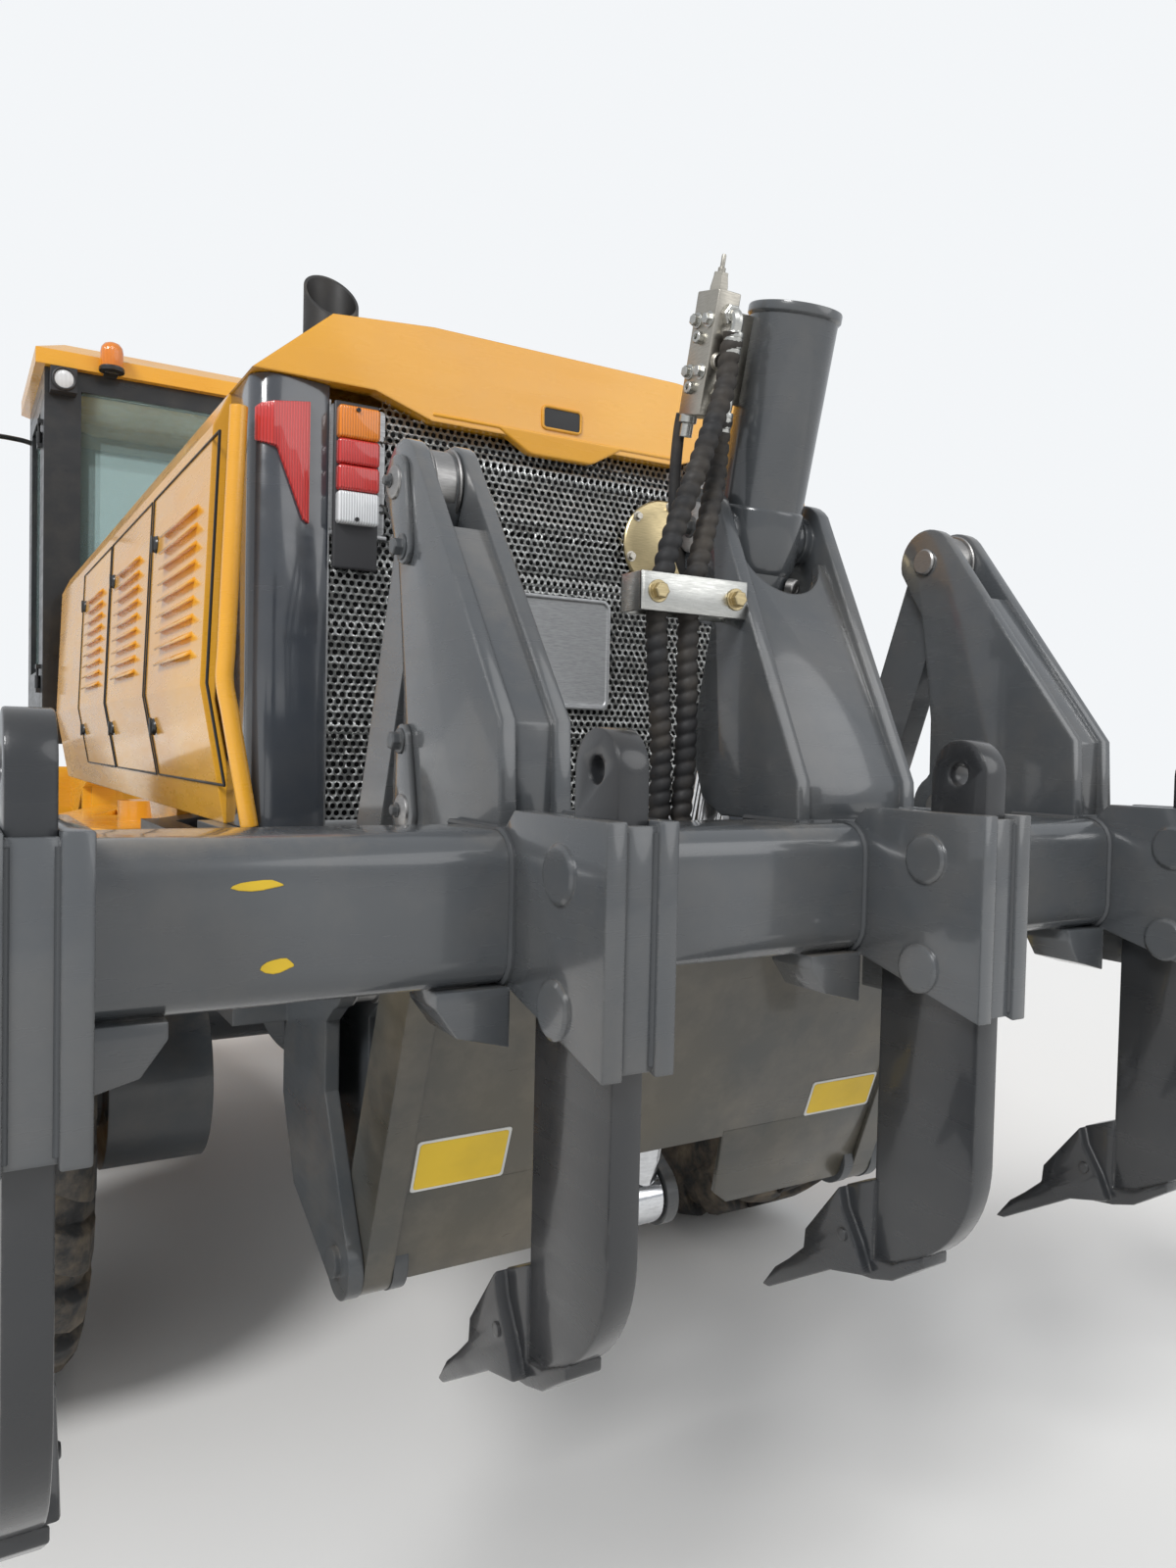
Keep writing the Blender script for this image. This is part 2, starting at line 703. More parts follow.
def makePunchedSheet():
    pitch = grille["pitch"]
    rowStep = grille["rowStep"]
    hole = grille["hole"] / 2
    freshStart()
    bpy.ops.mesh.primitive_circle_add(vertices=6, radius=hole / 1000, fill_type="NOTHING",
                                      rotation=(math.pi / 2, 0, 0))
    tile = bpy.context.object
    bpy.ops.object.transform_apply(rotation=True)
    editing()
    bpy.ops.mesh.extrude_edges_move(TRANSFORM_OT_translate={"value": (0, 0, 0)})
    bpy.ops.transform.resize(value=(pitch / math.sqrt(3) / hole,) * 3)
    bpy.ops.mesh.select_mode(type="VERT")
    toObject()
    for v in tile.data.vertices:
        v.select = v.co.length < hole / 1000 * 1.05
    toEdit()
    bpy.ops.mesh.extrude_edges_move(TRANSFORM_OT_translate={"value": (0, grille["thick"] / 1000, 0)})
    pickAll()
    bpy.ops.mesh.remove_doubles(threshold=0.00001)
    toObject()
    across = math.ceil(2 * grille["halfWidth"] / pitch) + 1
    rows = math.ceil((grille["high"] - grille["low"]) / (pitch * rowStep) / 2) + 1
    inRow(tile, 2, (pitch / 2, 0, pitch * rowStep))
    inRow(tile, across, (pitch, 0, 0))
    inRow(tile, rows, (0, 0, pitch * 2 * rowStep))
    applyModifiers(tile)
    put(tile, Matrix.Translation(spot(-grille["halfWidth"] - pitch / 2, grille["front"], grille["low"])))
    editing()
    bpy.ops.mesh.remove_doubles(threshold=0.0002)
    for place, way in ((spot(grille["halfWidth"], 0, 0), (1, 0, 0)),
                       (spot(-grille["halfWidth"], 0, 0), (-1, 0, 0)),
                       (spot(0, 0, grille["high"]), (0, 0, 1)), (spot(0, 0, grille["low"]), (0, 0, -1))):
        pickAll()
        bpy.ops.mesh.bisect(plane_co=place, plane_no=way, clear_outer=True)
    toObject()
    lampX, lampZ = grille["lampWindow"]
    badgeX, badgeLow, badgeHigh = grille["badgeWindow"]
    lipLow, lipRise, lipStart, lipWidth = grille["lip"]
    for face in tile.data.polygons:
        x, z = abs(face.center.x) * 1000, face.center.z * 1000
        lip = lipLow + lipRise * min(max(x - lipStart, 0) / lipWidth, 1)
        face.select = (x > lampX and z > lampZ) or (x < badgeX and badgeLow < z < badgeHigh) or z > lip
    toEdit()
    bpy.ops.mesh.select_mode(type="FACE")
    bpy.ops.mesh.delete(type="FACE")
    closed(tile)
    for v in tile.data.vertices:
        for rib in grille["ribs"]:
            near = 1 - abs(v.co.z * 1000 - rib) / grille["ribHalf"]
            if near > 0:
                v.co.y -= min(near * 2, 1) * grille["ribOut"] / 1000
    facing = sum(face.normal.y * face.area for face in tile.data.polygons)
    if facing > 0:
        tile.data.flip_normals()
    sheet = gathered("grilleSheet", [tile], "rear", "grilleSteel", 30)
    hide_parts("rear_grille")


def makeRadiator():
    bar = block(spot(-500, -1640, 1372), spot(500, -1626, 1380), 1.5)
    inRow(bar, 40, (0, 0, 20))
    applyModifiers(bar)
    back = block(spot(-503, -1628, 1362), spot(503, -1622, 2199), 1)
    gathered("radiatorCore", [bar, back], "rear", "radiatorBlack")


def makeGrillePlates():
    parts = []
    front = grille["plateFront"]
    for side in (-1, 1):
        low, high = span(side, 391, 503)
        parts.append(facingRear(roundedOutline((low, 1945), (high, 2193), 8), front, 6, 1.2))
    for side in (-1, 1):
        low, high = span(side, 385, 503)
        parts.append(block(spot(low, front, 1938), spot(high, front + 6, 1946), 1))
    parts.append(block(spot(-503, front, 1361), spot(503, front + 6, 1376), 1.5))
    for side in (-1, 1):
        parts.append(block(spot(side * 503 - 5, front, 1362), spot(side * 503 + 1, front + 8, 2199), 1))
    gathered("lampPlates", parts, "rear", "plateSteel")
    # badge plate: bare, with a raised rim and a shallow field
    badge = facingRear(roundedOutline(badgePlate["low"], badgePlate["high"], badgePlate["corner"], 6),
                       badgePlate["front"], badgePlate["thick"], 0)
    pickOnly(badge)
    toEdit()
    bpy.ops.mesh.select_mode(type="FACE")
    toObject()
    for face in badge.data.polygons:
        face.select = face.normal.y < -0.9
    toEdit()
    bpy.ops.mesh.inset(thickness=badgePlate["rim"])
    bpy.ops.mesh.inset(thickness=badgePlate["slope"])
    bpy.ops.transform.translate(value=(0, badgePlate["sunk"], 0))
    toObject()
    softened(badge, 1.2)
    gathered("badgePlate", [badge], "rear", "plateSteel")


# lamps beside the grille: amber over two reds over clear, and a reflector on each pillar
tailLamps = {
    "x": (411, 495),
    "z": (1957, 2187),
    "face": -1690,
    "lenses": (("Amber", "amberLens", 0.72, 1.0), ("Red", "redLens", 0.28, 0.72),
               ("Clear", "clearLens", 0.0, 0.28)),
}


def makeTailLamps():
    low, high = tailLamps["z"]
    for label, finishName, start, end in tailLamps["lenses"]:
        parts = []
        for side in (-1, 1):
            xs = span(side, *tailLamps["x"])
            cuts = [start, (start + end) / 2, end] if label == "Red" else [start, end]
            for a, b in zip(cuts, cuts[1:]):
                parts.append(block(spot(xs[0], tailLamps["face"], low + a * (high - low) + 0.8),
                                   spot(xs[1], -1664, low + b * (high - low) - 0.8), 7, 4))
        gathered("tailLens" + label, parts, "rear", finishName)
    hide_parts("rear_lamps")
    backs = []
    for side in (-1, 1):
        xs = span(side, 407, 499)
        backs.append(block(spot(xs[0], -1670, 1872), spot(xs[1], -1659.4, 2198), 5, 3))
        for z in (1966, 2178):
            backs.append(copied(socketScrew, spot(side * 458, -1690, z), (0, -1, 0), 0.35))
    gathered("tailLampBacks", backs, "rear", "lampHousing")


def makeReflectors():
    parts = []
    for side in (-1, 1):
        outline = [(548, 1949), (560, 1957), (612, 2086), (650, 2096), (650, 2158), (640, 2166), (548, 2182)]
        thing = facingRear([(side * x, z) for x, z in outline], grille["plateFront"], -20, 0)
        slicedAt(thing, [side * x for x in (575, 605, 620, 638)])
        for v in thing.data.vertices:
            if v.co.y * 1000 + middleY < -1670:
                x = abs(v.co.x) * 1000
                face = -1678 - 9 * (x - 548) / 72 if x < 620 else -1687 + 24 * (x - 620) / 34
                v.co.y = spot(0, face, 0).y
        parts.append(softened(thing, 2.5, 2, 50))
    gathered("cornerReflectors", parts, "rear", "redLens")


makePunchedSheet()
makeRadiator()
makeGrillePlates()
makeTailLamps()
makeReflectors()
print("grille and tail lamps made")


# zinc cover on the grille, its screws round the rim
roundCover = {"x": 280, "z": 2000, "radius": 105, "face": -1663}


def makeRoundCover():
    r = roundCover["radius"]
    place = spot(roundCover["x"], roundCover["face"], roundCover["z"])
    disc = turned([(0, 20), (r * 0.55, 20), (r * 0.62, 16), (r * 0.72, 15), (r * 0.80, 10), (r * 0.97, 8),
                   (r, 5), (r, 0), (0, 0)], place, (0, -1, 0), 56)
    bolts = []
    for i in range(6):
        angle = math.radians(20 + 60 * i)
        at = place + Vector((math.cos(angle), 0, math.sin(angle))) * r * 0.89 / 1000 + Vector((0, -0.008, 0))
        bolts.append(copied(bolt, at, (0, -1, 0), 0.62, i))
    gathered("roundCover", [disc], "rear", "zincYellow")
    gathered("roundCoverBolts", bolts, "rear", "zinc")


makeRoundCover()
print("round cover made")


# ripper beam: tube with round corners, shank pockets, brackets and their welds
beam = {
    "halfLength": 1144, "tubeLow": (200, -205), "tubeHigh": (380, -25), "corner": 40,
    "pocketWidth": 88, "sideThick": 24.7, "plateFaces": ((488, 512), (564, 588)), "weld": 5.0,
    "outerSide": 1100,      # |x| past which a pocket's side has no tube beside it
}
upperPin, lowerPin, barrelPin = (600, 450), (550, -22), (520, 430)


def plateAcross(outline, x0, x1, edge=2.0):
    # a plate standing across the machine, its outline given as (y, z) from the ripper's datum
    return plate([tail(x0, y, z) for y, z in outline], Vector(((x1 - x0) / 1000, 0, 0)), edge)


def cutWith(thing, cutter):
    hole = thing.modifiers.new("cut", "BOOLEAN")
    hole.operation = "DIFFERENCE"
    hole.solver = "EXACT"
    hole.object = cutter
    applyModifiers(thing)
    bpy.data.objects.remove(cutter)
    return thing


def makePocket(x):
    half = beam["pocketWidth"] / 2
    thick = beam["sideThick"]
    parts = []
    outline = [(0, -263), (0, 0), (205, 0), (227, -20), (227, -203)]
    for side in (-1, 1):
        x0, x1 = sorted((x + side * half, x + side * (half - thick)))
        parts.append(plateAcross(outline, x0, x1, 2.5))
        for y, z in ((93, -62), (100, -208)):
            parts.append(turned([(0, 6), (29, 6), (33, 3), (33, -2), (0, -2)], tail(x + side * half, y, z),
                                (side, 0, 0), 36))
        if abs(x + side * 60) < beam["outerSide"]:
            gusset = [(half - 1, -204), (134, -204), (134, -222), (108, -258), (half - 1, -275)]
            parts.append(plate([tail(x + side * gx, 206, gz) for gx, gz in gusset], Vector((0, 0.084, 0)), 2))
    parts.append(block(tail(x - 19.5, 6, -258), tail(x + 19.5, 19.5, -5), 1.5))
    return parts


def makeBeam():
    tube = plateAcross(roundedOutline(beam["tubeLow"], beam["tubeHigh"], beam["corner"], 9),
                       -beam["halfLength"], beam["halfLength"], 0)
    parts = [tube]
    for x in pocketXs:
        parts += makePocket(x)
    sidePlate = ([(255, -26), (262, 105)] + arcPoints(upperPin, 63, 140, -15, 14)
                 + [(607, 348), (595, 282), (575, 145), (574, 40)] + arcPoints(lowerPin, 62, 60, -120, 14)
                 + [(379, -150), (379, -26)])
    for side in (-1, 1):
        for near, far in beam["plateFaces"]:
            x0, x1 = span(side, near, far)
            parts.append(plateAcross(sidePlate, x0, x1, 2.5))
        x0, x1 = span(side, 511, 565)
        web = [(268, -26), (268, 102), (470, 371), (483, 361), (284, 97), (284, -26)]
        parts.append(plateAcross(web, x0, x1, 2.5))
        centre = ([(262, -26), (266, 33)] + arcPoints(barrelPin, 62, 142, -20, 14)
                  + [(545, 360), (470, 302), (500, 180), (521, 85), (490, 0), (440, -26)])
        x0, x1 = span(side, 92, 117)
        parts.append(plateAcross(centre, x0, x1, 2.5))
        parts.append(turned([(0, 0), (40, 0), (40, 14), (38, 16), (0, 16)], tail(side * 93, *barrelPin),
                            (-side, 0, 0), 40))
    web = plateAcross([(272, -26), (272, 30), (452, 384), (468, 376), (290, 22), (290, -26)], -93, 93, 2.5)
    across = Vector((0, 0.892, -0.453)) * 0.07
    cutWith(web, rod(tail(0, 458, 396) - across, tail(0, 458, 396) + across, 80, 56, 0))
    parts.append(web)
    parts.append(block(tail(-250, 379, -140), tail(-180, 470, -96), 4))
    piece = gathered("ripperBeam", parts, "ripper", "ripperPaint", 32)
    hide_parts("ripper_frame")


def makePins():
    # pin ends with their keeper plates and screws
    pins, keepers, screws = [], [], []
    for side in (-1, 1):
        for pin, keeper in ((upperPin, (566, 352)), (lowerPin, (560, 78))):
            out = (side, 0, 0)
            pins.append(turned([(0, 15), (18, 15), (24, 12), (25, 9), (25, -100), (0, -100)],
                               tail(side * 588, *pin), out, 36))
            pins.append(turned([(0, 8), (22, 8), (25, 5), (25, -2), (0, -2)], tail(side * 488, *pin),
                               (-side, 0, 0), 36))
            dy, dz = keeper[0] - pin[0], keeper[1] - pin[1]
            tilt = math.degrees(math.atan2(dz, dy))
            lobe = (arcPoints(pin, 40, tilt + 100, tilt + 260, 14)
                    + arcPoints(keeper, 24, tilt - 80, tilt + 80, 10))
            keepers.append(plateAcross(lobe, side * 588, side * 597, 1.8))
            screws.append(copied(bolt, tail(side * 597, *keeper), out, 0.95, 0.3))
            screws.append(copied(bolt, tail(side * 603, pin[0] + 4, pin[1] + 2), out, 0.55, 0.1))
    for side in (-1, 1):
        pins.append(turned([(0, 14), (34, 14), (40, 10), (40, -1), (0, -1)], tail(side * 117, *barrelPin),
                           (side, 0, 0), 40))
        screws.append(copied(bolt, tail(side * 130, *barrelPin), (side, 0, 0), 0.9))
    gathered("ripperPins", pins, "ripper", "steel")
    gathered("ripperKeepers", keepers, "ripper", "ripperPaint")
    gathered("ripperScrews", screws, "ripper", "graphitePaint")


def makeWelds():
    # beads where pockets, plates and tube meet
    r = beam["weld"]
    beads = []
    section = ([(379, -25), (240, -25)] + arcPoints((240, -65), 41, 90, 180, 5)
               + [(199, -165)] + arcPoints((240, -165), 41, 180, 270, 5) + [(228, -206)])
    for x in pocketXs:
        for side in (-1, 1):
            if abs(x + side * 60) < beam["outerSide"]:
                beads.append(pipe([tail(x + side * 46, y, z) for y, z in section], r, 8, False))
        for side in (-1, 1):
            beads.append(pipe([tail(x + side * 18.5, 6, z) for z in (-252, -130, -12)], 3.4, 8, False))
    for side in (-1, 1):
        for x in (487, 589):
            beads.append(pipe([tail(side * x, y, -25) for y in (252, 300, 378)], r, 8, False))
        for x in (91, 118):
            beads.append(pipe([tail(side * x, y, -25) for y in (262, 320, 379)], r, 8, False))
        beads.append(pipe([tail(side * x, 266, -25) for x in (488, 538, 588)], r, 8, False))
    beads.append(pipe([tail(x, 269, -26) for x in (-90, 0, 90)], r, 8, False))
    gathered("ripperWelds", beads, "ripper", "weldBead", 50)


shank = {
    "half": 19, "strapHalf": 23, "cheekHalf": 40,      # half of each one's thickness
    "eye": (66, 50, 15),                               # y, z and radius of the hole at the top
    "tipPin": (229, -616, 9),
}


def bored(thing, hole, reach, sides):
    # a round hole through a plate that stands across the machine
    y, z, radius = hole
    return cutWith(thing, rod(tail(-reach, y, z), tail(reach, y, z), radius, sides, 0))


def makeShanks():
    outline = ([(21, -458)] + arcPoints((66, 50), 45, 180, 0, 16) + [(111, -2), (190, -2), (190, -640), (187, -660),
               (155, -647)] + arcPoints((193, -458), 172, 237, 184, 9))
    tip = [(309, -639), (312, -669), (346, -701), (376, -726), (405, -765), (388, -763), (255, -680)]
    blade = plateAcross(outline, -shank["half"], shank["half"], 0)
    bored(blade, shank["eye"], 40, 32)
    softened(blade, 2.5)
    strap = plateAcross([(188, -526), (241, -551)] + tip + [(187, -668), (150, -655), (94, -614), (94, -598),
                        (150, -630), (188, -640)], -shank["strapHalf"], shank["strapHalf"], 2.5)
    cheeks = plateAcross([(241, -551)] + tip + [(187, -660), (205, -622), (233, -580)],
                         -shank["cheekHalf"], shank["cheekHalf"], 4)
    bored(cheeks, shank["tipPin"], 60, 20)
    pin = turned([(0, 43), (7, 43), (8.6, 41), (8.6, -43), (0, -43)], tail(0, *shank["tipPin"][:2]),
                 (1, 0, 0), 20)
    one = joined(blade, strap, cheeks, pin)
    parts = [copied(one, Vector((x / 1000, 0, 0))) for x in pocketXs]
    bpy.data.objects.remove(one)
    piece = gathered("ripperTeeth", parts, "ripper", "shankPaint", 32)
    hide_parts("ripper_shanks")


# yellow scuffs on the tube's rear face
scuffs = {"y": -2669.2, "places": ((-884, 1382, 26, 5), (-863, 1299, 17, 7))}


def makeScuffs():
    marks = []
    for x, z, long, high in scuffs["places"]:
        steps = 14
        outline = [(x + long * math.cos(math.tau * i / steps) * (1 + 0.16 * math.sin(5 * i)),
                    z + high * math.sin(math.tau * i / steps) * (1 + 0.3 * math.sin(7 * i + 1)))
                   for i in range(steps)]
        marks.append(facingRear(outline, scuffs["y"] - 0.4, 0.8, 0))
    gathered("beamScuffs", marks, "ripper", "labelYellow")


makeBeam()
makeScuffs()
makePins()
makeWelds()
makeShanks()
print("ripper beam and shanks made")


# links: bright sleeves at their eyes, the panel's lower lip and two blank labels
links = {
    "lowerEye": (880, -313),
    "sleeves": ((514.5, 519, 58), (522, 554, 53), (557, 561.5, 58)),     # |x| from and to, radius
    "labels": ((-505, -338, -540, -440), (330, 503, -541, -461)),        # x and way up the panel
    "labelMargin": 5,
}
panelUp = Vector((0, -0.3445, 0.9387))
panelOut = Vector((0, -0.9387, -0.3445))


def onPanel(x, along, out=0.0):
    return tail(x, 541, -142.5) + (panelUp * along + panelOut * out) / 1000


def makeLinks():
    sleeves, lips, whites, yellows = [], [], [], []
    for side in (-1, 1):
        for pin in (upperPin, links["lowerEye"]):
            for x0, x1, radius in links["sleeves"]:
                sleeves.append(turned([(50, 0), (radius - 1.5, 0), (radius, 1.5), (radius, x1 - x0 - 1.5),
                                       (radius - 1.5, x1 - x0), (50, x1 - x0)],
                                      tail(side * x0, *pin), (side, 0, 0), 44))
        outline = [(side * 512, -540), (side * 512, -690), (side * 480, -722), (side * 190, -722),
                   (side * 150, -690), (side * 130, -540)]
        lips.append(plate([onPanel(x, a, 1) for x, a in outline], panelOut * -0.010, 2))
    for x0, x1, a0, a1 in links["labels"]:
        for margin, lift, pile in ((0, 1.4, whites), (links["labelMargin"], 2.0, yellows)):
            outline = roundedOutline((x0 + margin, a0 + margin), (x1 - margin, a1 - margin), 6, 4)
            pile.append(plate([onPanel(x, a, -0.5) for x, a in outline],
                              panelOut * (lift + 0.5) / 1000, 0.3, 1))
    gathered("linkSleeves", sleeves, "upper_links", "steel")
    gathered("panelLip", lips, "lower_link", "panelPaint")
    gathered("labelEdges", whites, "lower_link", "labelWhite")
    gathered("labelPlates", yellows, "lower_link", "labelYellow")


makeLinks()


# ripper cylinder: caps, port plug, valve block with its fittings
cylinder = {"radius": 70, "top": -349}


def rodSpot(x, y, z):
    return barrelFrame @ (Vector((x, y, z)) / 1000)


def makeCylinder():
    down = alongRod
    r = cylinder["radius"]
    top = cylinder["top"]
    caps = [turned([(r - 6, 0), (r - 3, -3), (r + 3, -3), (r + 4, -1), (r + 4, 10), (r + 0.6, 14),
                    (r - 0.4, 14)], rodSpot(0, 0, top), down, 64),
            turned([(0, 8), (r - 8, 8), (r - 5, 3), (r - 5, 0), (0, 0)], rodSpot(0, 0, top + 4), -down, 64),
            turned([(r - 1, 0), (r + 3, 3), (r + 4, 6), (r + 4, 92), (r + 2, 98), (r - 1, 104)],
                   rodSpot(0, 0, -46), down, 64),
            turned([(r - 1, 0), (r + 1, 2), (r + 2, 4), (r + 2, 40), (r - 3, 45), (36, 45)],
                   rodSpot(0, 0, 104), down, 64)]
    for side in (-1, 1):
        caps.append(turned([(0, 8), (36, 8), (39, 5), (39, -12), (0, -12)], rodSpot(side * 66, 0, 0),
                           (side, 0, 0), 40))
    plug = turned([(0, 6), (7, 6), (7, 14), (13, 14), (15, 12), (15, 0), (0, 0)], rodSpot(36, 66, 72),
                  barrelFrame.to_3x3() @ Vector((0.4, 0.9, 0)), 28)
    gathered("cylinderCaps", caps, "ripper_barrel", "ripperPaint", 40)
    gathered("cylinderPlug", [plug], "ripper_barrel", "steel")


valve = {
    "low": (-151, -56, -352), "high": (-109, 2, -168),
    "sideScrews": ((-44, -308), (-12, -308), (-44, -232), (-12, -232)),
    "sidePlugs": ((-28, -282), (-30, -208)),
    "elbows": ((-126, -318), (-120, -202)),
}


def makeValve():
    body = block(Vector(valve["low"]) / 1000, Vector(valve["high"]) / 1000, 2.5)
    neck = block(Vector((-112, -38, -330)) / 1000, Vector((-62, -14, -196)) / 1000, 3)
    hexTop = turned([(0, 0), (15, 0), (15, 10), (12, 26), (12, 30), (0, 30)],
                    Vector((-0.131, -0.03, -0.350)), (0, 0, -1), 6)
    stem = turned([(0, 0), (6, 0), (6, 8), (3.6, 10), (3.6, 26), (2.6, 28), (0, 28)],
                  Vector((-0.131, -0.03, -0.379)), (0, 0, -1), 18)
    plug = turned([(0, 3), (5, 3), (5, 7), (11, 7), (13, 5), (13, 0), (0, 0)], Vector((-0.132, 0.001, -0.250)),
                  (0, 1, 0), 26)
    parts = [body, neck, hexTop, stem, plug]
    screws = [copied(bolt, Vector((-0.151, y / 1000, z / 1000)), (-1, 0, 0), 0.62, y)
              for y, z in valve["sideScrews"]]
    screws += [copied(socketScrew, Vector((-0.151, y / 1000, z / 1000)), (-1, 0, 0), 0.8)
               for y, z in valve["sidePlugs"]]
    for x, z in valve["elbows"]:
        x, z = x / 1000, z / 1000
        nut = turned([(0, 0), (15, 0), (16, 1.5), (16, 11), (14, 13), (0, 13)],
                     Vector((x, 0.001, z)), (0, 1, 0), 6)
        bend = pipe([Vector((x, 0.012, z)), Vector((x, 0.020, z + 0.001)), Vector((x, 0.026, z + 0.008)),
                     Vector((x, 0.0265, z + 0.018)), Vector((x, 0.024, z + 0.032))], 9.5, 16)
        ferrule = turned([(9, 0), (13.5, 1), (14.5, 3), (14.5, 8), (13.4, 9), (14.5, 10), (14.5, 16), (13.4, 17),
                          (14.5, 18), (14.5, 24), (13.4, 25), (14.5, 26), (14.5, 33), (13, 35), (9, 35)],
                         Vector((x, 0.0245, z + 0.024)), (0, -0.03, 1), 28)
        screws += [nut, bend, ferrule]
    screws.append(turned([(0, 0), (13, 0), (14, 1.5), (14, 12), (10, 14), (10, 34), (0, 34)],
                         Vector((-0.138, -0.045, -0.170)), (0, 0, 1), 20))
    for thing in parts + screws:
        put(thing, barrelFrame)
    valveBody = gathered("valveBlock", parts, "ripper_barrel", "zinc")
    gathered("valveFittings", screws, "ripper_barrel", "zincBright", 30)
    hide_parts("ripper_valve")


makeCylinder()
makeValve()
print("links, cylinder and valve made")


# hoses in their spiral guards: held all the way, from the valve over the clamp down to the tube
hoseLook = {"core": 12.6, "bead": 4.4, "pitch": 21.0, "sides": 14, "step": 2.6}
hoseRoutes = {
    # x, y, z from the ripper's datum
    "hoseLeft": [(-126, 426, 706), (-128, 434, 672), (-136, 430, 630), (-156, 424, 580), (-186, 418, 510),
                 (-216, 416, 440), (-242, 416, 370), (-256, 418, 300), (-258, 420, 240), (-248, 424, 150),
                 (-238, 430, 60), (-236, 434, -20), (-235, 436, -98)],
    "hoseRight": [(-120, 455, 594), (-121, 462, 562), (-128, 456, 528), (-142, 444, 480), (-162, 432, 420),
                  (-182, 424, 360), (-198, 420, 300), (-202, 420, 240), (-198, 424, 150), (-194, 430, 60),
                  (-196, 434, -20), (-197, 436, -98)],
}


def makeHose(name, route):
    path = curved([tail(*p) for p in route], 12)
    lengths = [0.0]
    for a, b in zip(path, path[1:]):
        lengths.append(lengths[-1] + (b - a).length)
    count = int(lengths[-1] * 1000 / hoseLook["step"])
    points, k = [], 0
    for i in range(count + 1):
        want = lengths[-1] * i / count
        while k < len(path) - 2 and lengths[k + 1] < want:
            k += 1
        t = (want - lengths[k]) / (lengths[k + 1] - lengths[k])
        points.append(path[k].lerp(path[k + 1], t))
    form = bmesh.new()
    side = Vector((1, 0, 0))
    rings = []
    for i, p in enumerate(points):
        ahead = (points[min(i + 1, count)] - points[max(i - 1, 0)]).normalized()
        side = (side - ahead * side.dot(ahead)).normalized()
        up = ahead.cross(side)
        ring = []
        for s in range(hoseLook["sides"]):
            angle = math.tau * s / hoseLook["sides"]
            wave = abs(math.sin(math.pi * (i * hoseLook["step"] / hoseLook["pitch"]) - angle / 2))
            radius = (hoseLook["core"] + hoseLook["bead"] * wave ** 0.6) / 1000
            ring.append(form.verts.new(p + (side * math.cos(angle) + up * math.sin(angle)) * radius))
        rings.append(ring)
    for a, b in zip(rings, rings[1:]):
        for s in range(len(a)):
            n = (s + 1) % len(a)
            form.faces.new((a[s], a[n], b[n], b[s]))
    form.faces.new(rings[0][::-1])
    form.faces.new(rings[-1])
    form.normal_update()
    mesh = bpy.data.meshes.new(name)
    form.to_mesh(mesh)
    form.free()
    hose = bpy.data.objects.new(name, mesh)
    bpy.context.scene.collection.objects.link(hose)
    hose = gathered(name, [hose], None, "hoseRubber", 60)
    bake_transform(hose)
    return hose


def makeHoses():
    hoses = [makeHose(name, route) for name, route in hoseRoutes.items()]
    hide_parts("ripper_hoses")
    third = [(-138, 540, 612), (-139, 546, 586), (-140, 552, 530), (-138, 556, 470), (-128, 560, 410),
             (-108, 560, 360), (-84, 556, 330), (-66, 553, 322)]
    line = pipe([tail(*p) for p in third], 9.5, 16)
    gathered("returnHose", [line], "ripper_barrel", "hoseRubber", 60)
    ends = []
    for x, y in ((-235, 436), (-197, 436)):
        ends.append(turned([(8, 0), (14, 1), (15.5, 4), (15.5, 9), (14.4, 10), (15.5, 11), (15.5, 18), (14.4, 19),
                            (15.5, 20), (15.5, 27), (14, 29), (8, 29)], tail(x, y, -98), (0, 0, 1), 28))
    gathered("hoseEnds", ends, "ripper", "zincBright")


# zinc clamp that holds both hoses against the bracket
clamp = {"x": (-305, -115), "y": (391, 447), "z": (272, 328)}


def makeClamp():
    (x0, x1), (y0, y1), (z0, z1) = clamp["x"], clamp["y"], clamp["z"]
    bars = [block(tail(x0, y0, z0), tail(x1, y0 + 6, z1), 1.5),
            block(tail(x0, y0, z0), tail(x0 + 5, y1, z1), 1.5),
            block(tail(x0, y1 - 5, z0), tail(x1, y1, z1), 1.5),
            block(tail(x1 - 12, y0 + 3, z0 + 4), tail(x1, y1 - 2, z1 - 4), 1.5)]
    screws = [copied(bolt, tail(x, y0, 300), (0, -1, 0), 0.85, 0.4) for x in (x0 + 28, x1 - 22)]
    gathered("hoseClamp", bars, "ripper", "zincBright")
    gathered("clampScrews", screws, "ripper", "zincYellow")


makeHoses()
makeClamp()
print("hoses and clamp made")


# tyres: a smooth carcass with raised rings on its walls and chevron lugs
tyre = {
    "lugs": 24,
    "lugWidth": (84, 104),        # along the tread, at the middle and at the shoulder
    "sweep": 0.62,                # how far a lug runs back for each mm outwards
    "edge": [(0, 674), (122.5, 674), (170.5, 666), (200.5, 640), (216.5, 594), (219, 566)],
    "wheels": {"rear_left_back": (-1092, -769), "rear_left_front": (-1092, 769),
               "rear_right_back": (1092, -769), "rear_right_front": (1092, 769),
               "front_left": (-1092, 6140), "front_right": (1092, 6140)},
    "radius": 674,
    "rooted": 46,                 # how deep a lug's foot stands in the carcass
}


def treadHeight(x):
    for (x0, r0), (x1, r1) in zip(tyre["edge"], tyre["edge"][1:]):
        if x <= x1:
            return r0 + (r1 - r0) * (x - x0) / (x1 - x0)
    return tyre["edge"][-1][1]


